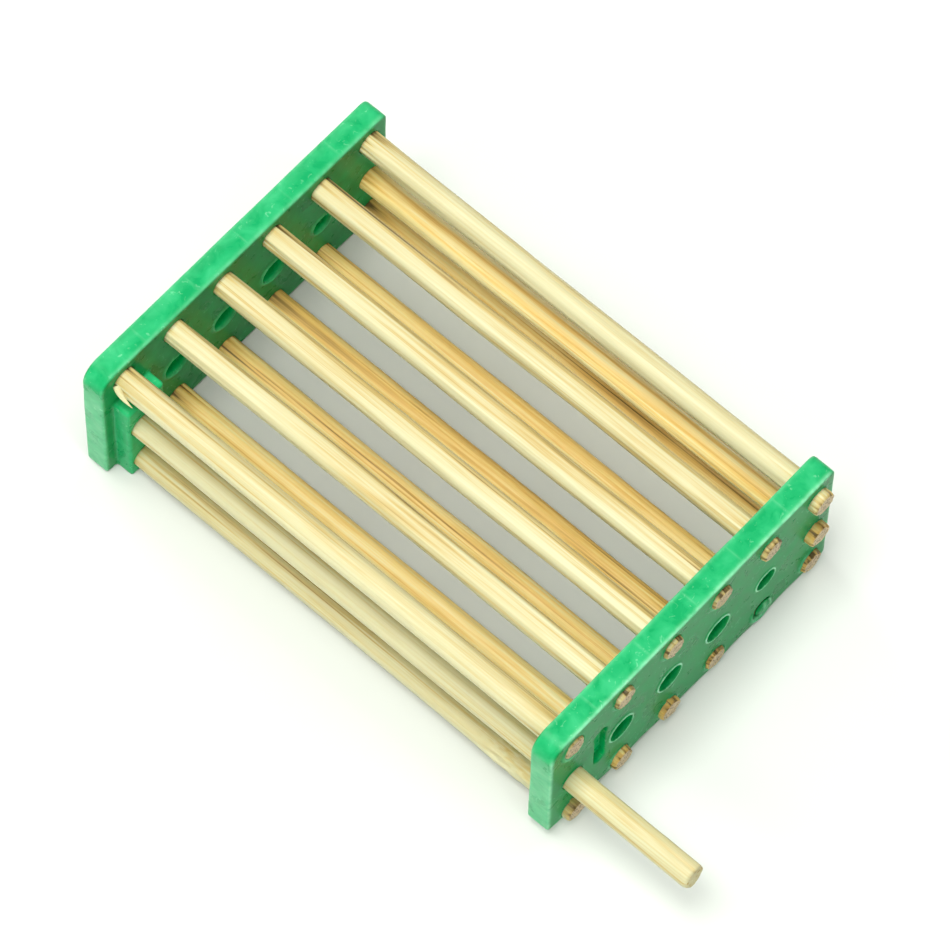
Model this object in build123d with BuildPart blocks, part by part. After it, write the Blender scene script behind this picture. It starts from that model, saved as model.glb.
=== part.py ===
"""Queen cage: two moulded end plates joined by bamboo rods, one of which slides out as the door.

Frame: the rods lie along Y with the door rod's handle at -Y, +Z is up, the plates stand on
Z = 0, and the origin is under the middle of the overall box. Columns of rods are counted
from the +X side, so the door rod is in the last column.
"""
import os

from build123d import *

os.makedirs("parts", exist_ok=True)

# ---------------------------------------------------------------- driving dimensions, mm
ROD_PITCH = 6.9            # centre to centre of neighbouring rods: leaves a 4.3 mm gap
ROD_DIAMETER = 2.6
ROD_END_CHAMFER = 0.15
COLUMN_COUNT = 6
COLUMN_SHIFT = 0.3         # the grid of rods sits a little off the plates' middle

LOWER_ROW_HEIGHT = 2.25    # rod centre lines above the surface that the cage stands on
MIDDLE_ROW_HEIGHT = 8.7
UPPER_ROW_HEIGHT = 15.65

PLATE_WIDTH = 40.2
PLATE_HEIGHT = 18.2
PLATE_THICKNESS = 2.6
PLATE_SPACING = 54.2       # clear length between the plates
DOOR_CORNER_RADIUS = 2.2   # upper corner over the door rod
SIDE_CORNER_RADIUS = 1.0   # upper corner over the side rod
FOOT_CORNER_RADIUS = 0.4
PLATE_EDGE_CHAMFER = 0.25

WIDE_HOLE_DIAMETER = 3.2   # open holes of the middle row
NARROW_HOLE_DIAMETER = 2.6
HOLE_RIM_CHAMFER = 0.2

SLOT_OFFSET = 13.0         # moulded recess beside the door rod, from the plate's middle
SLOT_HEIGHT = 9.3
SLOT_LENGTH = 6.6
SLOT_WIDTH = 1.6
SLOT_DEPTH = 0.8

BLOCK_WIDTH = 5.0          # boss on the rear plate that receives the door rod
BLOCK_HEIGHT = 12.8
BLOCK_DEPTH = 2.0
BLOCK_OFFSET = 16.2        # middle of the boss, from the plate's middle
BLOCK_EDGE_CHAMFER = 0.25
SOCKET_DEPTH = 3.2

FRONT_STUB = 0.6           # how far the fixed rods stand out of each plate
REAR_STUB = 0.3
HANDLE_LENGTH = 15.1       # door rod outside the front plate
DOOR_CLEARANCE = 0.05      # radial play of the door rod in its hole and socket
DOOR_END_GAP = 0.2
DOOR_GRIP = 1.8            # door rod left in the front plate when it is drawn out

# ---------------------------------------------------------------- places along Y
overall_length = HANDLE_LENGTH + 2 * PLATE_THICKNESS + PLATE_SPACING + REAR_STUB
front_outer_y = HANDLE_LENGTH - overall_length / 2
front_inner_y = front_outer_y + PLATE_THICKNESS
rear_inner_y = front_inner_y + PLATE_SPACING
rear_outer_y = rear_inner_y + PLATE_THICKNESS
block_face_y = rear_inner_y - BLOCK_DEPTH
door_end_y = block_face_y + SOCKET_DEPTH - DOOR_END_GAP
door_travel = door_end_y - (front_outer_y + PLATE_THICKNESS - DOOR_GRIP)
door_hole_diameter = ROD_DIAMETER + 2 * DOOR_CLEARANCE

# ---------------------------------------------------------------- places across the plates
columns = [COLUMN_SHIFT + ROD_PITCH * ((COLUMN_COUNT - 1) / 2 - i) for i in range(COLUMN_COUNT)]
upper_row = [(x, UPPER_ROW_HEIGHT) for x in columns]
lower_row = [(x, LOWER_ROW_HEIGHT) for x in columns]
side_place = (columns[0], MIDDLE_ROW_HEIGHT)
door_place = (columns[-1], MIDDLE_ROW_HEIGHT)
narrow_hole = (columns[1], MIDDLE_ROW_HEIGHT)
wide_holes = [(x, MIDDLE_ROW_HEIGHT) for x in columns[2:-1]]


def across(y):
    """A plane across the rods at y, seen from the handle end: +X to the right, +Z up."""
    return Plane.XZ.offset(-y)


def plate_slab(front_y):
    """The plate itself, from front_y towards +Y, with its rounded corners and broken edges."""
    with BuildSketch(across(front_y)) as outline:
        Rectangle(PLATE_WIDTH, PLATE_HEIGHT, align=(Align.CENTER, Align.MIN))
        upper = outline.vertices().group_by(Axis.Y)[-1].sort_by(Axis.X)
        fillet(upper[0], DOOR_CORNER_RADIUS)
        right_top = outline.vertices().group_by(Axis.Y)[-1].sort_by(Axis.X)[-1]
        fillet(right_top, SIDE_CORNER_RADIUS)
        feet = outline.vertices().group_by(Axis.Y)[0]
        fillet(feet, FOOT_CORNER_RADIUS)
    slab = extrude(outline.sketch, amount=-PLATE_THICKNESS)
    faces = slab.faces().sort_by(Axis.Y)
    chamfer(faces[0].outer_wire().edges(), PLATE_EDGE_CHAMFER)


def drill(places, diameter, mouth_y, depth):
    """Round holes along Y, from mouth_y towards +Y."""
    with BuildSketch(across(mouth_y)) as mouths:
        with Locations(*places):
            Circle(diameter / 2)
    extrude(mouths.sketch, amount=-depth, mode=Mode.SUBTRACT)


def break_rims(piece, places, diameter, mouth_y):
    """Chamfer the mouths of the holes at these places, on the face at mouth_y."""
    rims = piece.edges().filter_by(GeomType.CIRCLE).filter_by(
        lambda edge: abs(edge.radius - diameter / 2) < 0.01 and abs(edge.arc_center.Y - mouth_y) < 0.01
    )
    chosen = rims.filter_by(
        lambda edge: any(abs(edge.arc_center.X - x) + abs(edge.arc_center.Z - z) < 0.01 for x, z in places)
    )
    chamfer(chosen, HOLE_RIM_CHAMFER)


def finish(piece, name):
    """Label the finished part and write it."""
    piece.part.label = name
    export_step(piece.part, f"parts/{name}.step")


# ---------------------------------------------------------------- front plate
with BuildPart() as front_plate:
    plate_slab(front_outer_y)
    drill(upper_row + lower_row + [side_place], ROD_DIAMETER, front_outer_y, PLATE_THICKNESS)
    drill([door_place], door_hole_diameter, front_outer_y, PLATE_THICKNESS)
    drill(wide_holes, WIDE_HOLE_DIAMETER, front_outer_y, PLATE_THICKNESS)
    drill([narrow_hole], NARROW_HOLE_DIAMETER, front_outer_y, PLATE_THICKNESS)
    break_rims(front_plate, wide_holes, WIDE_HOLE_DIAMETER, front_outer_y)
    break_rims(front_plate, [narrow_hole], NARROW_HOLE_DIAMETER, front_outer_y)
    with BuildSketch(across(front_outer_y)):
        with Locations((-SLOT_OFFSET, SLOT_HEIGHT)):
            SlotOverall(SLOT_LENGTH, SLOT_WIDTH, rotation=90)
    extrude(amount=-SLOT_DEPTH, mode=Mode.SUBTRACT)
finish(front_plate, "front_plate")

# ---------------------------------------------------------------- rear plate, with the door block
with BuildPart() as rear_plate:
    plate_slab(rear_inner_y)
    with BuildSketch(across(block_face_y)):
        with Locations((-BLOCK_OFFSET, 0)):
            Rectangle(BLOCK_WIDTH, BLOCK_HEIGHT, align=(Align.CENTER, Align.MIN))
    extrude(amount=-(BLOCK_DEPTH + PLATE_THICKNESS / 2))
    block_face = rear_plate.faces().sort_by(Axis.Y)[0]
    chamfer(block_face.outer_wire().edges(), BLOCK_EDGE_CHAMFER)
    hole_depth = BLOCK_DEPTH + PLATE_THICKNESS
    drill(upper_row + lower_row + [side_place], ROD_DIAMETER, block_face_y, hole_depth)
    drill([door_place], door_hole_diameter, block_face_y, SOCKET_DEPTH)
    drill(wide_holes, WIDE_HOLE_DIAMETER, block_face_y, hole_depth)
    drill([narrow_hole], NARROW_HOLE_DIAMETER, block_face_y, hole_depth)
    break_rims(rear_plate, wide_holes, WIDE_HOLE_DIAMETER, rear_inner_y)
    break_rims(rear_plate, [narrow_hole], NARROW_HOLE_DIAMETER, rear_inner_y)
finish(rear_plate, "rear_plate")


def make_rod(name, place, start_y, end_y):
    """One bamboo rod along Y, with lightly broken end edges."""
    with BuildPart() as rod:
        with BuildSketch(across(start_y)):
            with Locations(place):
                Circle(ROD_DIAMETER / 2)
        extrude(amount=start_y - end_y)
        chamfer(rod.edges().filter_by(GeomType.CIRCLE), ROD_END_CHAMFER)
    finish(rod, name)


# ---------------------------------------------------------------- fixed rods
fixed_start_y = front_outer_y - FRONT_STUB
fixed_end_y = rear_outer_y + REAR_STUB
for column in range(COLUMN_COUNT):
    make_rod(f"top_rod_{column + 1}", upper_row[column], fixed_start_y, fixed_end_y)
    make_rod(f"bottom_rod_{column + 1}", lower_row[column], fixed_start_y, fixed_end_y)
make_rod("side_rod", side_place, fixed_start_y, fixed_end_y)

# ---------------------------------------------------------------- sliding door rod
make_rod("door_rod", door_place, front_outer_y - HANDLE_LENGTH, door_end_y)

print("front plate from y =", round(front_outer_y, 3), "to", round(front_inner_y, 3))
print("rear plate from y =", round(rear_inner_y, 3), "to", round(rear_outer_y, 3))
print("door rod travel =", round(door_travel, 3))
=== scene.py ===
"""Looks of a bamboo queen cage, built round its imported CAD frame.

The object's lengths are millimetres and become metres when a mesh is made. The floor's and the
lights' are metres, and a noise texture's scale is per metre. The frame's axes: the rods lie along Y
with the door rod's handle at -Y, +Z is up and the floor is Z = 0.
"""
import itertools
import math

import bpy
import numpy as np
from mathutils import Matrix, Vector


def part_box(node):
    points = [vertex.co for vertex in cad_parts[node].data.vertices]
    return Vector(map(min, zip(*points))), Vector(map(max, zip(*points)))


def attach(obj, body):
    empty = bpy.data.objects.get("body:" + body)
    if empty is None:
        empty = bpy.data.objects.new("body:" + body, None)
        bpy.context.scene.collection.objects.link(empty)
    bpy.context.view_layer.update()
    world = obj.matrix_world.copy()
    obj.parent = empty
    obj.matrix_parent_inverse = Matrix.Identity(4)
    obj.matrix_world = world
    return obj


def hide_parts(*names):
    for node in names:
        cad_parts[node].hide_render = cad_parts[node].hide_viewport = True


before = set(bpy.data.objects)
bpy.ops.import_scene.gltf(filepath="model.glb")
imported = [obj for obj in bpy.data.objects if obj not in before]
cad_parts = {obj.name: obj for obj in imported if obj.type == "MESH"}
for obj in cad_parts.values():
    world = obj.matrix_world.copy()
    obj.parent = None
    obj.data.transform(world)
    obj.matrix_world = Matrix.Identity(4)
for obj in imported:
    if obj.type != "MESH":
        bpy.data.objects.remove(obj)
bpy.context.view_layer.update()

MM = 0.001


# ---------------------------------------------------------------- places, read from the frame
def node_box(node):
    """Lowest and highest corner of a CAD node, in millimetres."""
    low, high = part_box(node)
    return np.array(low) / MM, np.array(high) / MM


def rod_place(node):
    """Centre line (x, z) of a rod and the y of its two ends."""
    low, high = node_box(node)
    middle = (low + high) / 2
    return middle[0], middle[2], low[1], high[1]


COLUMNS = range(1, 7)
fixed_rods = [f"top_rod_{c}" for c in COLUMNS] + [f"bottom_rod_{c}" for c in COLUMNS] + ["side_rod"]
column_x = {c: rod_place(f"top_rod_{c}")[0] for c in COLUMNS}
upper_z = rod_place("top_rod_1")[1]
lower_z = rod_place("bottom_rod_1")[1]
middle_z = rod_place("side_rod")[1]
rod_radius = (node_box("side_rod")[1][0] - node_box("side_rod")[0][0]) / 2

front_low, front_high = node_box("front_plate")
rear_low, rear_high = node_box("rear_plate")
PLATE_THICKNESS = front_high[1] - front_low[1]
rear_inner_y = rear_high[1] - PLATE_THICKNESS
block_face_y = rear_low[1]

# The plates' own features, as in the CAD model. Columns 2 to 5 of the middle row are open holes.
NARROW_COLUMN = 2
WIDE_COLUMNS = (3, 4, 5)
DOOR_COLUMN = 6
WIDE_HOLE = 1.6
NARROW_HOLE = 1.3
narrow_place = (column_x[NARROW_COLUMN], middle_z)
SLOT = {"x": -13.0, "z": 9.3, "length": 6.6, "width": 1.6, "depth": 0.8}
BLOCK = {"x": -16.2, "width": 5.0, "height": 12.8}


# ---------------------------------------------------------------- smooth noise
def lattice_noise(points, cell, seed):
    """Smooth random values from -1 to 1 at points (..., 3) that change over about cell millimetres."""
    random = np.random.default_rng(seed)
    order = random.permutation(256)
    values = random.uniform(-1, 1, 256)
    scaled = np.asarray(points) / np.asarray(cell)
    base = np.floor(scaled).astype(int)
    part = scaled - base
    part = part * part * (3 - 2 * part)
    total = np.zeros(scaled.shape[:-1])
    for corner in itertools.product((0, 1), repeat=3):
        x, y, z = np.moveaxis((base + corner) & 255, -1, 0)
        key = order[(order[(order[x] + y) & 255] + z) & 255]
        share = np.prod(np.where(corner, part, 1 - part), axis=-1)
        total += share * values[key]
    return total


# ---------------------------------------------------------------- mesh making
def new_piece(name, verts, faces, body, replaced, material, values=None):
    """A smooth-shaded mesh object that rides on a body; values are named numbers, one per vertex."""
    mesh = bpy.data.meshes.new(name)
    mesh.from_pydata((np.asarray(verts) * MM).tolist(), [], np.asarray(faces, dtype=object).tolist())
    mesh.update()
    mesh.polygons.foreach_set("use_smooth", [True] * len(mesh.polygons))
    for key, numbers in (values or {}).items():
        layer = mesh.attributes.new(key, "FLOAT", "POINT")
        layer.data.foreach_set("value", np.asarray(numbers, dtype=np.float32))
    mesh.materials.append(material)
    piece = bpy.data.objects.new(name, mesh)
    bpy.context.scene.collection.objects.link(piece)
    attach(piece, body)
    if replaced:
        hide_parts(*replaced)
    return piece


def surface_net(field, origin, step):
    """Vertices and quads of a field's zero level on a regular grid, one vertex in each cell it crosses.

    step is the grid's spacing along each of the three axes."""
    cells = np.array(field.shape) - 1

    def at(offset):
        return field[tuple(slice(o, o + c) for o, c in zip(offset, cells))]

    corners = list(itertools.product((0, 1), repeat=3))
    inside = sum((at(c) < 0).astype(int) for c in corners)
    crossed = (inside > 0) & (inside < 8)
    number = np.full(cells, -1)
    number[crossed] = np.arange(crossed.sum())
    total = np.zeros((crossed.sum(), 3))
    hits = np.zeros((crossed.sum(), 1))
    for start in corners:
        for axis in range(3):
            if start[axis]:
                continue
            end = tuple(1 if a == axis else s for a, s in enumerate(start))
            first, second = at(start)[crossed], at(end)[crossed]
            cut = (first < 0) != (second < 0)
            share = np.where(cut, first / np.where(cut, first - second, 1), 0)[:, None]
            spot = np.array(start) + share * (np.array(end) - np.array(start))
            total += spot * cut[:, None]
            hits += cut[:, None]
    verts = (np.argwhere(crossed) + total / hits) * step + origin

    quads = []
    for axis in range(3):
        u, v = (axis + 1) % 3, (axis + 2) % 3
        low = [slice(None)] * 3
        high = [slice(None)] * 3
        low[axis], high[axis] = slice(0, -1), slice(1, None)
        for side in (low, high):
            side[u] = slice(1, -1)
            side[v] = slice(1, -1)
        first, second = field[tuple(low)] < 0, field[tuple(high)] < 0
        spots = np.argwhere(first != second)
        spots[:, u] += 1
        spots[:, v] += 1
        rising = first[first != second]
        ring = []
        for du, dv in ((-1, -1), (0, -1), (0, 0), (-1, 0)):
            cell = spots.copy()
            cell[:, u] += du
            cell[:, v] += dv
            ring.append(number[tuple(cell.T)])
        ring = np.stack(ring, axis=1)
        ring[~rising] = ring[~rising][:, ::-1]
        quads.append(ring)
    return verts, np.concatenate(quads)


# ---------------------------------------------------------------- shapes of the plates, as distances
def smooth_max(a, b, blend):
    """The larger of two distances, rounded over where they meet."""
    share = np.clip(0.5 - 0.5 * (b - a) / blend, 0, 1)
    return b + (a - b) * share + blend * share * (1 - share)


def smooth_min(a, b, blend):
    return -smooth_max(-a, -b, blend)


def rounded_box(offsets, halves, radius):
    """Distance to a box with rounded edges; offsets are coordinates from its centre."""
    gaps = [np.abs(o) - (h - radius) for o, h in zip(offsets, halves)]
    outside = np.sqrt(sum(np.maximum(g, 0) ** 2 for g in gaps))
    return outside + np.minimum(np.maximum.reduce(np.broadcast_arrays(*gaps)), 0) - radius


DOOR_CORNER = 2.2
SIDE_CORNER = 1.1
FOOT_CORNER = 0.35
EDGE_ROUND = 0.22


def outline(x, z, low, high, foot):
    """Distance across the plate to its outline, whose lower edge is the height foot(x)."""
    middle_x, half_x = (low[0] + high[0]) / 2, (high[0] - low[0]) / 2
    bottom = foot(x)
    side = np.abs(x - middle_x) - half_x
    top = z - high[2]
    corner = np.where(x < middle_x, DOOR_CORNER, SIDE_CORNER)
    upper = np.hypot(np.maximum(side + corner, 0), np.maximum(top + corner, 0)) \
        + np.minimum(np.maximum(side, top) + corner, 0) - corner
    under = bottom - z
    return smooth_max(upper, under, FOOT_CORNER)


def slab(x, y, z, low, high, inner_y, outer_y, foot):
    """Distance to a plate without holes, its edges rounded."""
    across = outline(x, z, low, high, foot) + EDGE_ROUND
    middle_y, half_y = (inner_y + outer_y) / 2, abs(outer_y - inner_y) / 2
    through = np.abs(y - middle_y) - half_y + EDGE_ROUND
    outside = np.hypot(np.maximum(across, 0), np.maximum(through, 0))
    return outside + np.minimum(np.maximum(across, through), 0) - EDGE_ROUND


def drill(shape, x, y, z, place, radius, face_y, rim, lean=(0, 0)):
    """Cuts a round hole along Y and raises a thin rim of flash round its mouth.

    rim is (height, width of the fullest part); lean is the direction, across the plate, in which
    the flash is fullest."""
    dx, dz = x - place[0], z - place[1]
    around = np.hypot(dx, dz)
    fullness = np.clip(0.45 + 0.55 * (dx * lean[0] + dz * lean[1]) / np.maximum(around, 0.1), 0, 1)
    if lean == (0, 0):
        fullness = np.ones_like(around)
    ring = np.hypot(around - radius - rim[1] * 0.4, (y - face_y) * rim[1] / rim[0]) - rim[1] * fullness
    shape = smooth_min(shape, ring, 0.12)
    return smooth_max(shape, radius - around, 0.12)


def flash_line(shape, x, y, z, ends, y_at, z_at, radius):
    """Adds an uneven bead of flash along X, from ends[0] to ends[1]."""
    points = np.stack(np.broadcast_arrays(x, y, z), axis=-1)
    uneven = 0.6 + 0.4 * lattice_noise(points, (1.7, 40, 40), 31)
    past = np.maximum(np.maximum(ends[0] - x, x - ends[1]), 0)
    bead = np.sqrt(past ** 2 + (y - y_at) ** 2 + (z - z_at) ** 2) - radius * uneven
    return smooth_min(shape, bead, 0.15)


STEP = 0.14   # about the spacing of the grid that the plates are meshed on
MARGIN = 0.8                             # the grid's spare room round each plate


def grid_over(low, high):
    """Open coordinate arrays of a regular grid round a box, the grid's first corner and its three steps.

    The box's faces lie halfway between planes of the grid, so no flat face runs along one."""
    size = np.array(high) - np.array(low)
    counts = np.round(size / STEP).astype(int)
    steps = size / counts
    spare = math.ceil(MARGIN / STEP)
    axes = [l + s * (np.arange(-spare, c + spare) + 0.5) for l, s, c in zip(low, steps, counts)]
    x, y, z = np.meshgrid(*axes, indexing="ij", sparse=True)
    return x, y, z, np.array([a[0] for a in axes]), steps


def waviness(x, y, z, seed):
    """Gentle unevenness of a moulded surface, in millimetres."""
    points = np.stack(np.broadcast_arrays(x, y, z), axis=-1)
    return 0.04 * lattice_noise(points, 5.0, seed)


def all_rod_places():
    """(node, (x, z)) of every fixed rod."""
    return [(node, rod_place(node)[:2]) for node in fixed_rods]


# Which way the torn flash leans round each rod in the outer face, (x, z), and how much there is of it
BURRS = {
    "top_rod_3": ((-0.5, -0.8), 0.26), "top_rod_4": ((-0.5, -0.8), 0.3), "top_rod_5": ((-0.4, -0.9), 0.24),
    "top_rod_6": ((-0.5, -0.8), 0.4), "bottom_rod_1": ((-1, 0.2), 0.22), "bottom_rod_2": ((-0.3, -0.9), 0.45),
    "bottom_rod_3": ((-0.2, -1), 0.3), "bottom_rod_5": ((-0.9, 0.4), 0.2),
}


def front_foot(x):
    """Height of the front plate's lower edge: it rises to the door's side and bulges below each rod."""
    rise = 0.9 * np.clip((2.0 - x) / 22.0, 0, 1)
    between = 0.5 - 0.5 * np.cos(2 * np.pi * (x - column_x[1]) / (column_x[1] - column_x[2]))
    return front_low[2] + rise + 0.35 * between


def rear_foot(x):
    """Height of the rear plate's lower edge, nearly straight."""
    between = 0.5 - 0.5 * np.cos(2 * np.pi * (x - column_x[1]) / (column_x[1] - column_x[2]))
    return rear_low[2] + 0.2 * between


def bell(distance, width):
    """1 on a line and falling to nothing about two widths away."""
    return np.exp(-(distance / width) ** 2)


def plate_marks(verts, low, high, rims, shown_y):
    """Numbers from 0 to 1: how pale the plastic is, how far it is inside a hole and how much painted shade
    its two large faces get.

    It is pale at thin flash, whitened burrs and knit lines, and a little on the rear plate's top towards its
    outer face; along the edges and round the rear plate's holes the pale is a painted highlight, and on the
    door-side face it is painted light. rims are (place, radius, face y, strength, lean); shown_y is the face
    with the strongest line of flash."""
    x, y, z = verts.T
    pale = np.zeros(len(verts))
    inside = np.zeros(len(verts))
    middle_y = (low[1] + high[1]) / 2
    for (px, pz), radius, face_y, strength, lean in rims:
        dx, dz = x - px, z - pz
        around = np.hypot(dx, dz)
        towards = (dx * lean[0] + dz * lean[1]) / np.maximum(around, 0.1)
        full = 1.0 if lean == (0, 0) else np.clip(0.1 + 0.9 * towards, 0, 1)
        # Pale rims: whitened flash and burrs round the front plate's rods, and a painted highlight round the
        # rear plate's holes.
        pale = np.maximum(pale, strength * full * bell(np.hypot(around - radius - 0.1, y - face_y), 0.24))
        # inside: how far into a hole, where the colour gives way to a painted deep green
        depth = np.abs(y - middle_y) - abs(high[1] - low[1]) / 2
        in_bore = np.clip((radius + 0.12 - around) / 0.1, 0, 1)
        inside = np.maximum(inside, in_bore * np.clip(-depth / 0.3, 0, 1))
    top = high[2] - z
    # A pale line along the top edge of the shown face: the front plate's flash, and on the rear plate a
    # painted highlight along its inner top edge.
    pale = np.maximum(pale, (0.85 if shown_y < 0 else 0.3) * bell(np.hypot(y - shown_y, top), 0.24))
    # Painted light and painted reflection: the door-side face is made paler for the key light from that side
    # and the white surroundings it reflects.
    door_side_light = np.clip((low[0] + 0.3 - x) / 0.2, 0, 1) * np.clip(top / 3.0 - 0.5, 0, 1)
    pale = np.maximum(pale, 0.42 * door_side_light)
    # Painted highlight along the front plate's outer door-side edge.
    pale = np.maximum(pale, 0.85 * bell(np.hypot(y - front_low[1], x - low[0]), 0.25))
    outer_band = np.clip((y - rear_high[1] + 1.4) / 1.2, 0, 1) * np.clip(1 - top / 0.4, 0, 1)
    pale = np.maximum(pale, 0.1 * outer_band)
    # Painted highlights along the top and side edges of both large faces.
    for face_y in (low[1], high[1]):
        pale = np.maximum(pale, 0.35 * bell(np.hypot(y - face_y, np.minimum(top, 2)), 0.3))
        for side_x in (low[0], high[0]):
            pale = np.maximum(pale, 0.4 * bell(np.hypot(y - face_y, x - side_x), 0.3))
    # Painted shade: the two large faces are marked for darkening, as the overhead light reaches them less
    # than the tops.
    face_shade = np.clip(1.6 - np.abs(y - shown_y) / 0.12, 0, 1) * np.clip(top / 0.5, 0, 1)
    face_shade = np.maximum(face_shade, np.clip(1.6 - np.abs(y - middle_y + (low[1] - high[1]) / 2) / 0.12, 0, 1))
    face_shade = face_shade * np.clip((x - low[0]) / 0.4, 0, 1) * np.clip(top / 0.5, 0, 1)
    for gap in range(1, 6):
        mark = (column_x[gap] + column_x[gap + 1]) / 2 + 0.5 * math.sin(5 * gap)
        pale = np.maximum(pale, 0.17 * bell(x - mark, 0.12) * bell(np.maximum(top, 0), 0.4))
    blotch = lattice_noise(verts, 1.1, 77) * 0.5 + lattice_noise(verts, 0.35, 78) * 0.5
    return {"pale": pale * np.clip(0.75 + 0.6 * blotch, 0, 1), "inside_hole": inside, "matt_face": face_shade}


def front_plate_mesh():
    """The front plate: slab, rod holes, open middle row, moulded recess, flash and burrs."""
    x, y, z, origin, steps = grid_over(front_low, front_high)
    outer_y, inner_y = front_low[1], front_high[1]
    shape = slab(x, y, z, front_low, front_high, inner_y, outer_y, front_foot)
    shape = shape + waviness(x, y, z, 5)
    shape = flash_line(shape, x, y, z, (-17.5, 19.0), outer_y + 0.06, front_high[2] - 0.16, 0.17)
    for node, place in all_rod_places():
        lean, size = BURRS.get(node, ((0, 0), 0.1))
        shape = drill(shape, x, y, z, place, rod_radius + 0.02, outer_y, (0.22, size), lean)
    shape = drill(shape, x, y, z, (column_x[DOOR_COLUMN], middle_z), rod_radius + 0.1, outer_y, (0.16, 0.12))
    for column in WIDE_COLUMNS:
        shape = drill(shape, x, y, z, (column_x[column], middle_z), WIDE_HOLE - 0.05, outer_y, (0.2, 0.17))
    shape = drill(shape, x, y, z, narrow_place, NARROW_HOLE - 0.05, outer_y, (0.2, 0.17))
    reach = SLOT["length"] / 2 - SLOT["width"] / 2
    along = np.clip(z - SLOT["z"], -reach, reach)
    slot = np.hypot(x - SLOT["x"], z - SLOT["z"] - along) - SLOT["width"] / 2
    blob = np.hypot(x - SLOT["x"], z - SLOT["z"] - reach) - SLOT["width"] / 2 - 0.15
    recess = np.maximum(np.minimum(slot, blob), y - outer_y - SLOT["depth"])
    shape = smooth_max(shape, -recess, 0.15)
    smear_x, smear_z = column_x[2] + 0.35, lower_z - 0.35
    sideways, upward, forward = (x - smear_x) / 1.15, (z - smear_z) / 0.95, (y - outer_y - 0.1) / 0.28
    smear = np.sqrt(sideways ** 2 + upward ** 2 + forward ** 2) - 1
    shape = smooth_min(shape, 0.28 * smear, 0.1)
    verts, quads = surface_net(shape, origin, steps)
    rims = [((column_x[c], middle_z), WIDE_HOLE, outer_y, 0.0, (0, 0)) for c in WIDE_COLUMNS]
    rims.append((narrow_place, NARROW_HOLE, outer_y, 0.0, (0, 0)))
    rims += [(place, rod_radius, outer_y, 0.7 if node in BURRS else 0.2, BURRS.get(node, ((0, 0), 0))[0])
             for node, place in all_rod_places()]
    marks = plate_marks(verts, front_low, front_high, rims, outer_y)
    vert_x, vert_y, vert_z = verts.T
    past_end = vert_z - SLOT["z"] - np.clip(vert_z - SLOT["z"], -reach, reach)
    off_slot = np.hypot(vert_x - SLOT["x"], past_end)
    in_slot = (off_slot < SLOT["width"] / 2 + 0.12) & (vert_y > outer_y + 0.12) & (vert_y < outer_y + 1.2)
    # The recess gets the holes' painted deep green as well.
    marks["inside_hole"] = np.maximum(marks["inside_hole"], 0.9 * in_slot)
    off_smear = np.hypot(vert_x - smear_x, vert_z - smear_z)
    on_smear = (off_smear < 1.1) & (vert_y < outer_y + 0.05)
    streaked = np.clip(0.5 + lattice_noise(verts, (0.5, 2, 1.1), 91), 0, 1)
    marks["pale"] = np.maximum(marks["pale"], 0.7 * streaked * on_smear)
    return verts, quads, marks


def rear_plate_mesh():
    """The rear plate: slab with the door rod's block on its inner face, rod holes and the open middle row."""
    x, y, z, origin, steps = grid_over(rear_low, rear_high)
    inner_y, outer_y = rear_inner_y, rear_high[1]
    shape = slab(x, y, z, (rear_low[0], inner_y, rear_low[2]), rear_high, inner_y, outer_y, rear_foot)
    shape = shape + waviness(x, y, z, 11)
    middle = (x - BLOCK["x"], y - (block_face_y + outer_y) / 2, z - BLOCK["height"] / 2)
    halves = (BLOCK["width"] / 2, (outer_y - block_face_y) / 2, BLOCK["height"] / 2)
    block = rounded_box(middle, halves, 0.35) + 0.6 * waviness(x, y, z, 17)
    block = smooth_max(block, y - outer_y + 0.6, 0.1)
    shape = smooth_min(shape, block, 0.35)
    for node, place in all_rod_places():
        shape = drill(shape, x, y, z, place, rod_radius + 0.02, outer_y, (0.18, 0.1))
    for column in WIDE_COLUMNS:
        shape = drill(shape, x, y, z, (column_x[column], middle_z), WIDE_HOLE - 0.05, inner_y, (0.18, 0.16))
    shape = drill(shape, x, y, z, narrow_place, NARROW_HOLE - 0.05, inner_y, (0.18, 0.16))
    around = np.hypot(x - column_x[DOOR_COLUMN], z - middle_z)
    socket = np.maximum(around - rod_radius - 0.1, y - rod_place("door_rod")[3] - 0.2)
    shape = smooth_max(shape, -socket, 0.12)
    verts, quads = surface_net(shape, origin, steps)
    # The pale round these holes is a painted highlight.
    rims = [((column_x[c], middle_z), WIDE_HOLE, inner_y, 0.25, (0, 0)) for c in WIDE_COLUMNS]
    rims.append((narrow_place, NARROW_HOLE, inner_y, 0.25, (0, 0)))
    slab_low = (rear_low[0], inner_y, rear_low[2])
    return verts, quads, plate_marks(verts, slab_low, rear_high, rims, inner_y)


# ---------------------------------------------------------------- bamboo rods
RINGS = 150
SIDES = 72
CAP_RINGS = 7
ROUGH_SIDE = 120   # angles of the knot and of the shaved side, degrees from +X towards +Z
FLAT_SIDE = 100
FIBRE_RINGS = 15
FIBRE_SIDES = 10


def turn_noise(angle, along, seed, count, cell):
    """Smooth noise round and along a rod: about count changes per turn, and one each cell millimetres."""
    size = count / (2 * math.pi)
    points = np.stack(np.broadcast_arrays(size * np.cos(angle), size * np.sin(angle), along / cell), axis=-1)
    return lattice_noise(points, 1.0, seed)


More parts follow.
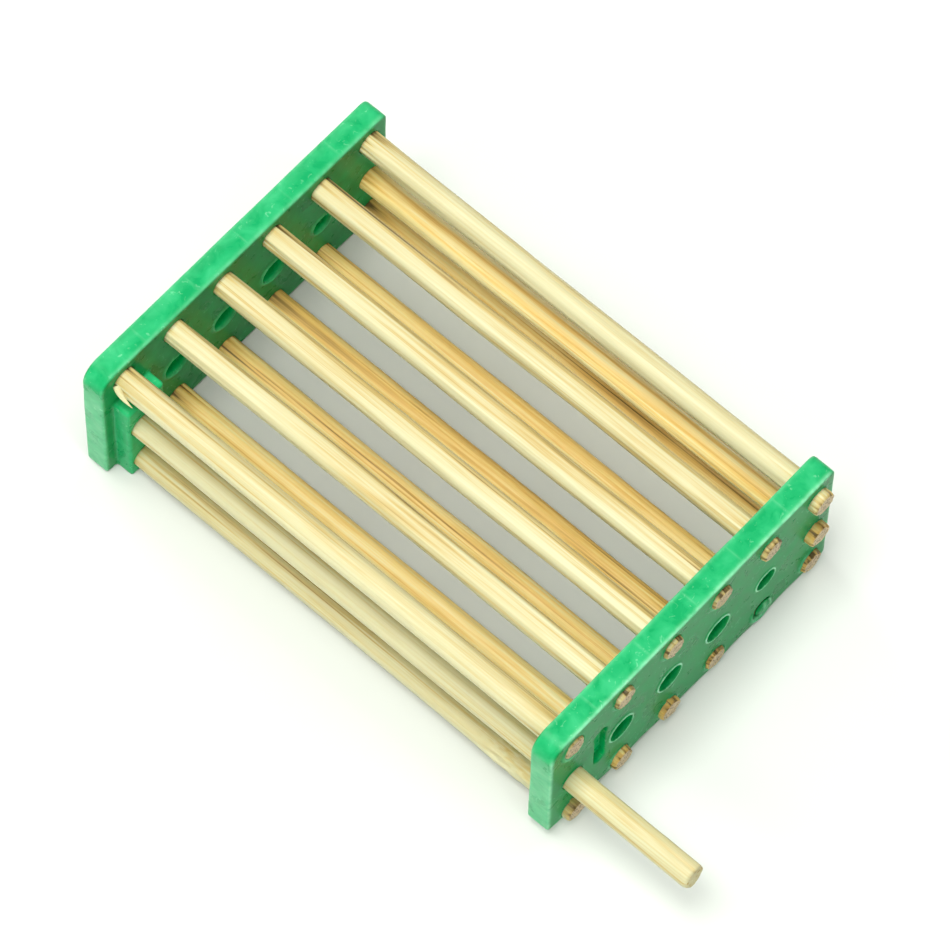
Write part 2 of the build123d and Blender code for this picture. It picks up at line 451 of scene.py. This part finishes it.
def bamboo_mesh(node, look):
    """Vertices, faces and per-vertex tones of one rod.

    Angles are degrees from +X towards +Z. look may hold: thick (scale of the radius), flat (share of the
    radius shaved off near the top), bow (x, z in millimetres at mid length), start (how far the front end
    is moved along Y), skin (angle of the darker outer side), dark (how dark that side is), lines (angle,
    width and depth of dark lines along the rod), rough (a coarse knot near the front end), fray_and_shade
    (how torn the surface is near the plates, and how much painted shade darkens it next to their inner
    faces), sawn (how torn it is at the very ends), cut (slope of the end faces), end_tone
    (how much end grain they show), and seed."""
    centre_x, centre_z, start_y, end_y = rod_place(node)
    start_y += look.get("start", 0.0)
    seed = look["seed"]
    length = end_y - start_y
    share = np.linspace(0, 1, RINGS)
    share = share - 0.055 * np.sin(2 * math.pi * share)      # rings closer together near the ends
    y = start_y + length * share[:, None]
    angle = np.linspace(0, 2 * math.pi, SIDES, endpoint=False)[None, :]

    from_start, from_end = y - start_y, end_y - y
    worn = np.minimum(from_start, from_end)
    sawn = look.get("sawn", 1.0) * np.exp(-worn / 0.7)
    # Torn fibres near the plates, and painted shade: the rods are darkened next to the plates' inner faces,
    # most at the rear plate.
    fray_and_shade = look.get("fray_and_shade", 0.6) * (np.exp(-np.clip(rear_inner_y - y, 0, None) / 2.8)
                                    + 0.4 * np.exp(-np.clip(y - front_high[1], 0, None) / 1.5))
    ridges = turn_noise(angle, y, seed, 26, 9.0)
    fine = turn_noise(angle, y, seed + 1, 60, 3.0)
    lumps = turn_noise(angle, y, seed + 2, 5, 11.0)
    radius = rod_radius * look.get("thick", 1.0) * (1 + 0.012 * lattice_noise(
        np.stack([0 * y, y, 0 * y], axis=-1), 14.0, seed + 3))
    depth = 0.06 + 0.14 * fray_and_shade + 0.14 * sawn
    radius = radius - 0.01 + depth * np.minimum(ridges, 0.25) + 0.012 * fine + 0.03 * lumps
    knots = look.get("rough", 0) * np.exp(-((from_start - 8.0) / 3.2) ** 2)
    knots = knots * np.clip(np.cos(angle - math.radians(ROUGH_SIDE)) + 0.4, 0, 1)
    radius = radius + knots * (0.2 * turn_noise(angle, y, seed + 4, 16, 1.6)
                               + 0.12 * turn_noise(angle, y, seed + 5, 34, 0.6))
    radius = radius - 0.1 * np.exp(-worn / 0.12)
    across, up = radius * np.cos(angle), radius * np.sin(angle)

    lift = look.get("flat", 0)
    if lift:
        tilt = math.radians(FLAT_SIDE)
        out = across * math.cos(tilt) + up * math.sin(tilt)
        ceiling = rod_radius * (1 - lift)
        over = np.maximum(out - ceiling, 0) * 0.85
        across = across - over * math.cos(tilt)
        up = up - over * math.sin(tilt)

    bow = np.sin(math.pi * share[:, None])
    sway = lattice_noise(np.stack([y, 0 * y, 0 * y], axis=-1), 17.0, seed + 6) * 0.07 * bow
    x = centre_x + across + look.get("bow", (0, 0))[0] * bow + sway
    z = centre_z + up + look.get("bow", (0, 0))[1] * bow
    ring_points = np.stack([x, np.broadcast_to(y, x.shape), z], axis=-1)

    skin = math.radians(look.get("skin", 60))
    tone = look.get("dark", 0.4) * np.clip(0.5 + 0.9 * np.cos(angle - skin), 0, 1)
    tone = tone + 0.35 * np.clip(-ridges - 0.15, 0, 1) + 0.12 * fine
    tone = tone + look.get("dark", 0.4) * 0.5 * turn_noise(angle, y, seed + 7, 7, 22.0)
    for edge, width, depth_of in look.get("lines", ()):
        off = np.angle(np.exp(1j * (angle - math.radians(edge) - 0.1 * np.sin(y / 11 + seed))))
        tone = tone + depth_of * np.exp(-(off / math.radians(width)) ** 2)
    grooves = np.clip(-ridges, 0, 1)
    tone = tone + 0.3 * knots * turn_noise(angle, y, seed + 9, 30, 0.5)
    # Near the plates this paints shade as well as torn grooves; the sawn term darkens the torn very ends.
    tone = tone + fray_and_shade * (0.3 + 1.0 * grooves) + sawn * (0.5 + 0.9 * grooves)
    tone = np.broadcast_to(tone, x.shape)

    # end faces: rings that shrink to a point, uneven where the fibres were cut
    verts, tones, ends = [ring_points.reshape(-1, 3)], [tone.ravel()], [np.zeros(tone.size)]
    caps = []
    for side, ring in ((-1, ring_points[0]), (1, ring_points[-1])):
        middle = ring.mean(axis=0)
        rows = []
        for k in range(1, CAP_RINGS):
            shrink = 1 - k / CAP_RINGS
            row = middle + (ring - middle) * shrink
            out_x, out_z = row[:, 0] - middle[0], row[:, 2] - middle[2]
            slope = look.get("cut", 0.06) * (out_x * math.cos(seed) + out_z * math.sin(seed))
            bumps = 0.05 * lattice_noise(row, 0.28, seed + 8)
            row[:, 1] = ring[:, 1] + side * (0.03 + bumps) + slope * shrink
            rows.append(row)
        centre = rows[-1].mean(axis=0)[None, :]
        first = sum(len(v) for v in verts)
        block = np.concatenate(rows + [centre])
        verts.append(block)
        tones.append(np.full(len(block), 0.35))
        ends.append(np.full(len(block), look.get("end_tone", 1.0)))
        caps.append((side, first))

    faces = []
    index = np.arange(RINGS * SIDES).reshape(RINGS, SIDES)
    following = np.roll(index, -1, axis=1)
    faces += np.stack([index[:-1], following[:-1], following[1:], index[1:]], axis=-1).reshape(-1, 4).tolist()
    for side, first in caps:
        outer = index[0] if side < 0 else index[-1]
        for k in range(CAP_RINGS - 1):
            inner = first + k * SIDES + np.arange(SIDES)
            quad = np.stack([outer, inner, np.roll(inner, -1), np.roll(outer, -1)], axis=-1)
            faces += (quad if side < 0 else quad[:, ::-1]).tolist()
            outer = inner
        tip = first + (CAP_RINGS - 1) * SIDES
        fan = [[int(a), tip, int(b)] for a, b in zip(outer, np.roll(outer, -1))]
        faces += fan if side < 0 else [f[::-1] for f in fan]
    values = {"tone": np.concatenate(tones), "end_grain": np.concatenate(ends)}
    return np.concatenate(verts), faces, values


def fibre_mesh(points, thick):
    """A loose fibre: a tapered tube along the curve that three points steer."""
    start, bend, end = (np.array(p) for p in points)
    share = np.linspace(0, 1, FIBRE_RINGS)[:, None]
    path = (1 - share) ** 2 * start + 2 * share * (1 - share) * bend + share ** 2 * end
    along = np.gradient(path, axis=0)
    along /= np.linalg.norm(along, axis=1)[:, None]
    across = np.cross(along, (0, 0, 1))
    across /= np.linalg.norm(across, axis=1)[:, None]
    up = np.cross(across, along)
    width = thick * (1 - 0.94 * share ** 1.5)
    turn = np.linspace(0, 2 * math.pi, FIBRE_SIDES, endpoint=False)
    rings = [path + width * (across * math.cos(a) + 0.6 * up * math.sin(a)) for a in turn]
    verts = np.stack(rings, axis=1).reshape(-1, 3)
    index = np.arange(FIBRE_RINGS * FIBRE_SIDES).reshape(FIBRE_RINGS, FIBRE_SIDES)
    after = np.roll(index, -1, axis=1)
    faces = np.stack([index[:-1], after[:-1], after[1:], index[1:]], axis=-1).reshape(-1, 4).tolist()
    faces += [index[0][::-1].tolist(), index[-1].tolist()]
    return verts, faces, {"tone": np.full(len(verts), 0.25), "end_grain": np.zeros(len(verts))}


# ---------------------------------------------------------------- materials
def node_material(name):
    """A material with an empty node tree; returns it with functions that add and link nodes."""
    material = bpy.data.materials.new(name)
    material.use_nodes = True
    tree = material.node_tree
    tree.nodes.clear()

    def add(kind, **settings):
        node = tree.nodes.new("ShaderNode" + kind)
        for key, value in settings.items():
            setattr(node, key, value)
        return node

    def link(start, socket, end, into):
        tree.links.new(start.outputs[socket], end.inputs[into])

    return material, add, link


def noise_node(add, link, scale, detail=3.0, roughness=0.55, distortion=0.0):
    """A noise texture in the frame's own coordinates, with features of about 1 / scale metres each way."""
    place = add("TexCoord")
    mapping = add("Mapping")
    mapping.inputs["Scale"].default_value = scale
    link(place, "Object", mapping, "Vector")
    noise = add("TexNoise")
    noise.inputs["Scale"].default_value = 1.0
    noise.inputs["Detail"].default_value = detail
    noise.inputs["Roughness"].default_value = roughness
    noise.inputs["Distortion"].default_value = distortion
    link(mapping, "Vector", noise, "Vector")
    return noise


def ramp_node(add, stops):
    """A colour ramp through (position, colour) stops; colours are linear."""
    ramp = add("ValToRGB")
    elements = ramp.color_ramp.elements
    elements[0].position, elements[-1].position = stops[0][0], stops[-1][0]
    for position, _ in stops[1:-1]:
        elements.new(position)
    for element, (_, colour) in zip(elements, stops):
        element.color = (*colour, 1)
    return ramp


def range_node(add, low, high, new_low, new_high):
    """A Map Range node from low..high to new_low..new_high."""
    node = add("MapRange")
    for key, value in (("From Min", low), ("From Max", high), ("To Min", new_low), ("To Max", new_high)):
        node.inputs[key].default_value = value
    return node


def sum_of(add, link, *terms):
    """Adds up (node, socket, factor) terms; returns the last math node."""
    total = None
    for node, socket, factor in terms:
        product = add("Math", operation="MULTIPLY_ADD")
        link(node, socket, product, 0)
        product.inputs[1].default_value = factor
        product.inputs[2].default_value = 0.0
        if total is not None:
            link(total, "Value", product, 2)
        total = product
    return total


def line_node(add, link, scale, low, high):
    """Separate thin lines along a stretched noise: 1 on a line and 0 between them."""
    noise = noise_node(add, link, scale, 2.0, 0.5)
    lines = range_node(add, low, high, 0.0, 1.0)
    link(noise, "Fac", lines, "Value")
    return lines


BAMBOO_RANGE = (0.87, 2.08)   # sums of all its patterns that give the palest and the darkest colour


def bamboo_material(name, stops):
    """Raw bamboo: lengthwise fibres in several widths, darker skin where the tone says, porous ends."""
    material, add, link = node_material(name)
    shader, out = add("BsdfPrincipled"), add("OutputMaterial")
    link(shader, "BSDF", out, "Surface")

    streaks = noise_node(add, link, (1300, 30, 1300), 4.0, 0.6)
    fibres = noise_node(add, link, (5200, 90, 5200), 3.0, 0.65)
    blotches = noise_node(add, link, (260, 75, 260), 3.0, 0.5, 0.6)
    dark_lines = line_node(add, link, (2700, 17, 2700), 0.57, 0.70)
    pale_lines = line_node(add, link, (2000, 23, 2300), 0.58, 0.70)
    tone = add("Attribute", attribute_name="tone")
    total = sum_of(
        add, link, (tone, "Fac", 0.8), (streaks, "Fac", 0.8), (fibres, "Fac", 0.75),
        (blotches, "Fac", 0.35), (dark_lines, "Result", 0.5), (pale_lines, "Result", -0.3),
    )
    darkness = range_node(add, *BAMBOO_RANGE, 0.0, 1.0)
    link(total, "Value", darkness, "Value")
    wood = ramp_node(add, stops)
    link(darkness, "Result", wood, "Fac")

    place = add("TexCoord")
    pores_map = add("Mapping")
    pores_map.inputs["Scale"].default_value = (4200, 300, 4200)
    link(place, "Object", pores_map, "Vector")
    pores = add("TexVoronoi", feature="F1")
    pores.inputs["Scale"].default_value = 1.0
    link(pores_map, "Vector", pores, "Vector")
    grain = ramp_node(add, [(0.1, (0.16, 0.10, 0.05)), (0.3, (0.42, 0.30, 0.17)), (0.6, (0.70, 0.55, 0.34))])
    link(pores, "Distance", grain, "Fac")
    cut_end = add("Attribute", attribute_name="end_grain")
    mixed = add("Mix", data_type="RGBA")
    link(cut_end, "Fac", mixed, 0)
    link(wood, "Color", mixed, 6)
    link(grain, "Color", mixed, 7)
    link(mixed, 2, shader, "Base Color")

    rough = range_node(add, 0.3, 0.8, 0.42, 0.68)
    link(fibres, "Fac", rough, "Value")
    link(rough, "Result", shader, "Roughness")
    relief = sum_of(add, link, (fibres, "Fac", 1.0), (streaks, "Fac", 0.7))
    bump = add("Bump")
    bump.inputs["Strength"].default_value = 0.5
    bump.inputs["Distance"].default_value = 0.00006
    link(relief, "Value", bump, "Height")
    link(bump, "Normal", shader, "Normal")
    shader.inputs["Specular IOR Level"].default_value = 0.35
    shader.inputs["Subsurface Weight"].default_value = 0.12
    shader.inputs["Subsurface Radius"].default_value = (0.0012, 0.0008, 0.0004)
    shader.inputs["Subsurface Scale"].default_value = 1.0
    return material


PALE_BAMBOO = [
    (0.0, (0.72, 0.69, 0.41)), (0.28, (0.68, 0.61, 0.315)), (0.55, (0.62, 0.47, 0.165)),
    (0.82, (0.36, 0.25, 0.085)), (1.0, (0.14, 0.095, 0.03)),
]
# The lower rods' and the side rod's bamboo: warmer and brighter than PALE_BAMBOO, partly their own warmer
# tone and partly painted light, the warm light that the rods above bounce onto them.
WARM_AND_BOUNCE_LIT_BAMBOO = [
    (0.0, (0.88, 0.79, 0.42)), (0.28, (0.87, 0.66, 0.25)), (0.55, (0.78, 0.50, 0.13)),
    (0.82, (0.48, 0.29, 0.08)), (1.0, (0.17, 0.11, 0.03)),
]


RIM_WIDTH = 0.13   # of the pale rings of painted highlight, to each side of their middle


def rim_highlight_lines(add, link):
    """Thin pale rings of painted highlight on the flash round the open holes in the front plate's outer face,
    as a math node.
    """
    place, parts = add("TexCoord"), add("SeparateXYZ")
    link(place, "Object", parts, "Vector")
    uneven = noise_node(add, link, (1500, 1500, 1500), 2.0)

    def math_node(operation, first, second):
        node = add("Math", operation=operation)
        for index, value in enumerate((first, second)):
            if isinstance(value, tuple):
                link(*value, node, index)
            elif value is not None:
                node.inputs[index].default_value = value
        return node

    def inside_of(value, low, high):
        ranged = range_node(add, low, high, 1.0, 0.0)
        link(*value, ranged, "Value")
        return ranged

    on_face = inside_of((parts, "Y"), (front_low[1] + 0.3) * MM, (front_low[1] + 0.5) * MM)
    rings = None
    for column in (NARROW_COLUMN, *WIDE_COLUMNS):
        radius = NARROW_HOLE if column == NARROW_COLUMN else WIDE_HOLE
        off_x = math_node("SUBTRACT", (parts, "X"), column_x[column] * MM)
        off_z = math_node("SUBTRACT", (parts, "Z"), middle_z * MM)
        square_x = math_node("POWER", (off_x, "Value"), 2.0)
        square_z = math_node("POWER", (off_z, "Value"), 2.0)
        square = math_node("ADD", (square_x, "Value"), (square_z, "Value"))
        around = math_node("SQRT", (square, "Value"), None)
        off_ring = math_node("SUBTRACT", (around, "Value"), (radius + 0.1) * MM)
        distance = math_node("ABSOLUTE", (off_ring, "Value"), None)
        ring = inside_of((distance, "Value"), 0.4 * RIM_WIDTH * MM, RIM_WIDTH * MM)
        if rings is None:
            rings = ring
        else:
            rings = math_node("MAXIMUM", (rings, rings.outputs[0].name), (ring, "Result"))
    shown = math_node("MULTIPLY", (rings, "Value"), (on_face, "Result"))
    strength = range_node(add, 0.35, 0.55, 0.45, 1.0)
    link(uneven, "Fac", strength, "Value")
    return math_node("MULTIPLY", (shown, "Value"), (strength, "Result"))


def plastic_material():
    """Moulded green plastic: cloudy, pale where thin or scuffed, with painted highlights along edges and
    rims, painted light on the door-side face, painted shade on the two large faces and a painted deep green
    in the holes.
    """
    material, add, link = node_material("green_plastic")
    shader, out = add("BsdfPrincipled"), add("OutputMaterial")
    link(shader, "BSDF", out, "Surface")
    clouds = noise_node(add, link, (520, 520, 520), 4.0, 0.5, 0.4)
    colour = ramp_node(add, [
        (0.34, (0.01, 0.40, 0.125)), (0.5, (0.022, 0.47, 0.16)), (0.68, (0.045, 0.54, 0.205)),
    ])
    link(clouds, "Fac", colour, "Fac")

    inside = add("Attribute", attribute_name="inside_hole")
    # Painted shade: the two large faces are multiplied darker, as the overhead light reaches them less than
    # the tops.
    face_shade = add("Attribute", attribute_name="matt_face")
    face_shaded = add("Mix", data_type="RGBA", blend_type="MULTIPLY")
    face_shaded.inputs[7].default_value = (0.5, 0.68, 0.54, 1)
    link(face_shade, "Fac", face_shaded, 0)
    link(colour, "Color", face_shaded, 6)
    # Painted light: in the holes and the recess the colour gives way to a deep saturated green, the colour
    # that light coming through the plastic shows on their walls.
    rich = add("Mix", data_type="RGBA")
    rich.inputs[7].default_value = (0.0, 0.50, 0.15, 1)
    link(inside, "Fac", rich, 0)
    link(face_shaded, 2, rich, 6)
    scuffs = noise_node(add, link, (1500, 1500, 1500), 2.0, 0.6, 1.0)
    scuff = range_node(add, 0.64, 0.74, 0.0, 1.0)
    link(scuffs, "Fac", scuff, "Value")
    # Pale: flash, burrs and knit lines, with painted highlights on edges and rims and painted light on the
    # door-side face; the scuffs are wear.
    pale_flash_and_highlights = add("Attribute", attribute_name="pale")
    # Painted highlights: thin pale rings round the front plate's open holes.
    rims = rim_highlight_lines(add, link)
    wear_flash_and_highlights = sum_of(add, link, (pale_flash_and_highlights, "Fac", 1.0), (scuff, "Result", 0.3), (rims, "Value", 1.0))
    limited = range_node(add, 0.0, 1.0, 0.0, 0.9)
    link(wear_flash_and_highlights, "Value", limited, "Value")
    mixed = add("Mix", data_type="RGBA")
    mixed.inputs[7].default_value = (0.42, 0.92, 0.58, 1)
    link(limited, "Result", mixed, 0)
    link(rich, 2, mixed, 6)
    link(mixed, 2, shader, "Base Color")

    rough = range_node(add, 0.3, 0.7, 0.24, 0.38)
    link(clouds, "Fac", rough, "Value")
    link(rough, "Result", shader, "Roughness")
    bump = add("Bump")
    bump.inputs["Strength"].default_value = 0.18
    bump.inputs["Distance"].default_value = 0.00005
    ripples = noise_node(add, link, (800, 800, 800), 1.0, 0.4)
    link(ripples, "Fac", bump, "Height")
    link(bump, "Normal", shader, "Normal")
    shader.inputs["IOR"].default_value = 1.45
    shader.inputs["Specular IOR Level"].default_value = 0.1
    shader.inputs["Subsurface Weight"].default_value = 0.2
    shader.inputs["Subsurface Radius"].default_value = (0.0002, 0.0013, 0.0006)
    shader.inputs["Subsurface Scale"].default_value = 1.0
    return material


# ---------------------------------------------------------------- the object's pieces
plastic = plastic_material()
pale = bamboo_material("pale_bamboo", PALE_BAMBOO)
warm = bamboo_material("warm_bamboo", WARM_AND_BOUNCE_LIT_BAMBOO)

LOOKS = {
    "top_rod_1": {"thick": 1.02, "skin": 20, "dark": 0.2, "start": -0.45, "fray_and_shade": 1.0, "bow": (-0.05, 0.0)},
    "top_rod_2": {"flat": 0.16, "skin": 20, "dark": 0.55, "fray_and_shade": 0.7,
                  "lines": ((62, 7, 0.25), (168, 8, 0.3))},
    "top_rod_3": {"flat": 0.16, "skin": 15, "dark": 0.5, "fray_and_shade": 0.6, "start": 0.25,
                  "lines": ((50, 7, 0.25), (172, 8, 0.3))},
    "top_rod_4": {"flat": 0.18, "skin": 15, "dark": 0.45, "fray_and_shade": 0.5, "start": 0.2,
                  "lines": ((54, 6, 0.25), (170, 8, 0.3))},
    "top_rod_5": {"flat": 0.18, "skin": 15, "dark": 0.45, "fray_and_shade": 0.6, "start": 0.2,
                  "lines": ((50, 6, 0.35), (165, 8, 0.4))},
    "top_rod_6": {"thick": 1.04, "skin": 30, "dark": 0.35, "fray_and_shade": 1.1, "start": 0.45, "sawn": 0.4},
    "side_rod": {"thick": 1.02, "skin": 60, "dark": 0.25, "fray_and_shade": 1.0, "start": -0.4,
                 "lines": ((75, 6, 0.6), (125, 6, 0.5))},
    "bottom_rod_1": {"skin": 90, "dark": 0.45, "fray_and_shade": 0.8, "start": 0.1},
    "bottom_rod_2": {"skin": 90, "dark": 0.4, "fray_and_shade": 0.9, "start": 1.0},
    "bottom_rod_3": {"skin": 80, "dark": 0.5, "fray_and_shade": 0.8, "start": 0.3},
    "bottom_rod_4": {"skin": 90, "dark": 0.3, "fray_and_shade": 0.9, "start": -0.05},
    "bottom_rod_5": {"skin": 100, "dark": 0.25, "fray_and_shade": 0.9, "start": -0.05},
    "bottom_rod_6": {"skin": 70, "dark": 0.3, "fray_and_shade": 0.9, "rough": 1.0, "start": -0.3},
    "door_rod": {"skin": 20, "dark": 0.25, "fray_and_shade": 0.5, "sawn": 0.0, "thick": 1.03,
                 "cut": 0.15, "end_tone": 0.1},
}
# Rods in the warmer bamboo, whose colour is partly painted bounce light.
WARM_AND_BOUNCE_LIT_RODS = [f"bottom_rod_{c}" for c in range(1, 6)] + ["side_rod"]
# The splinter's three steering points: x and z from top_rod_6's middle line, y in the frame
SPLINTER = ((-1.2, 34.3, 0.5), (-1.75, 33.5, 0.1), (-1.6, 32.0, -0.5))
SPLINTER_THICKNESS = 0.42

for seed, (node, look) in enumerate(LOOKS.items()):
    body = "door" if node == "door_rod" else "cage"
    material = warm if node in WARM_AND_BOUNCE_LIT_RODS else pale
    verts, faces, values = bamboo_mesh(node, {**look, "seed": 10 * seed + 3})
    new_piece(node + "_bamboo", verts, faces, body, [node], material, values)


splinter_path = [(column_x[DOOR_COLUMN] + dx, y, upper_z + dz) for dx, y, dz in SPLINTER]
verts, faces, values = fibre_mesh(splinter_path, SPLINTER_THICKNESS)
new_piece("top_rod_6_splinter", verts, faces, "cage", [], pale, values)

for node, shape in (("front_plate", front_plate_mesh()), ("rear_plate", rear_plate_mesh())):
    verts, quads, marks = shape
    new_piece(node + "_moulding", verts, quads, "cage", [node], plastic, marks)


# ---------------------------------------------------------------- floor, camera and lights
FLOOR_SIZE = 6.0
CAMERA_AIM = Vector((0.28, 5.25, 9.0)) * MM
CAMERA_DISTANCE = 652.5 * MM
CAMERA_AZIMUTH, CAMERA_ELEVATION, CAMERA_ROLL = -49.95, 63.84, 1.93
CAMERA_LENS = 259.7
KEY_PLACE = (-0.13, 0.02, 0.59)
KEY_SIZE, KEY_POWER = 0.3, 4.5
WASH_COUNT = 4
WASH_PLACE = Vector((0.8, 0.0, 0.3))   # of the first of the lights that brighten the floor alone
WASH_SIZE, WASH_POWER = 0.6, 9.0
WORLD_STRENGTH = 0.2


def make_floor():
    """A plain pale floor under the cage."""
    material, add, link = node_material("floor")
    shader, out = add("BsdfPrincipled"), add("OutputMaterial")
    link(shader, "BSDF", out, "Surface")
    shader.inputs["Base Color"].default_value = (0.415, 0.435, 0.40, 1)
    shader.inputs["Roughness"].default_value = 0.6
    shader.inputs["Specular IOR Level"].default_value = 0.3
    mesh = bpy.data.meshes.new("floor")
    half = FLOOR_SIZE / 2
    corners = [(-half, -half, 0), (half, -half, 0), (half, half, 0), (-half, half, 0)]
    mesh.from_pydata(corners, [], [(0, 1, 2, 3)])
    mesh.materials.append(material)
    floor = bpy.data.objects.new("floor", mesh)
    bpy.context.scene.collection.objects.link(floor)
    return floor


def make_camera():
    """The camera, looking down on the door's corner from the handle end."""
    turn, lift, roll = (math.radians(a) for a in (CAMERA_AZIMUTH, CAMERA_ELEVATION, CAMERA_ROLL))
    back = Vector((math.sin(turn) * math.cos(lift), -math.cos(turn) * math.cos(lift), math.sin(lift)))
    level = (-back).cross(Vector((0, 0, 1))).normalized()
    upright = level.cross(-back)
    right = level * math.cos(roll) + upright * math.sin(roll)
    up = upright * math.cos(roll) - level * math.sin(roll)
    camera = bpy.data.objects.new("camera", bpy.data.cameras.new("camera"))
    camera.data.lens = CAMERA_LENS
    camera.data.sensor_width = 36.0
    camera.matrix_world = Matrix.Translation(CAMERA_AIM + back * CAMERA_DISTANCE) @ Matrix(
        (right, up, back)).transposed().to_4x4()
    bpy.context.scene.collection.objects.link(camera)
    bpy.context.scene.camera = camera


def area_light(name, place, size, power):
    """A square soft light that faces the origin."""
    lamp = bpy.data.lights.new(name, "AREA")
    lamp.shape, lamp.size, lamp.energy = "SQUARE", size, power
    light = bpy.data.objects.new(name, lamp)
    light.location = place
    light.visible_camera = False
    light.rotation_euler = (-Vector(place)).to_track_quat("-Z", "Y").to_euler()
    bpy.context.scene.collection.objects.link(light)
    return light


floor_only = bpy.data.collections.new("floor_only")
floor_only.objects.link(make_floor())
make_camera()
area_light("key", KEY_PLACE, KEY_SIZE, KEY_POWER)
for turn in range(WASH_COUNT):
    side = Matrix.Rotation(turn * 2 * math.pi / WASH_COUNT, 3, "Z") @ WASH_PLACE
    wash = area_light(f"floor_wash_{turn + 1}", side, WASH_SIZE, WASH_POWER)
    wash.light_linking.receiver_collection = floor_only
world = bpy.data.worlds.new("studio")
world.use_nodes = True
world.node_tree.nodes["Background"].inputs["Color"].default_value = (1, 1, 1, 1)
world.node_tree.nodes["Background"].inputs["Strength"].default_value = WORLD_STRENGTH
bpy.context.scene.world = world
bpy.context.scene.view_settings.view_transform = "Standard"
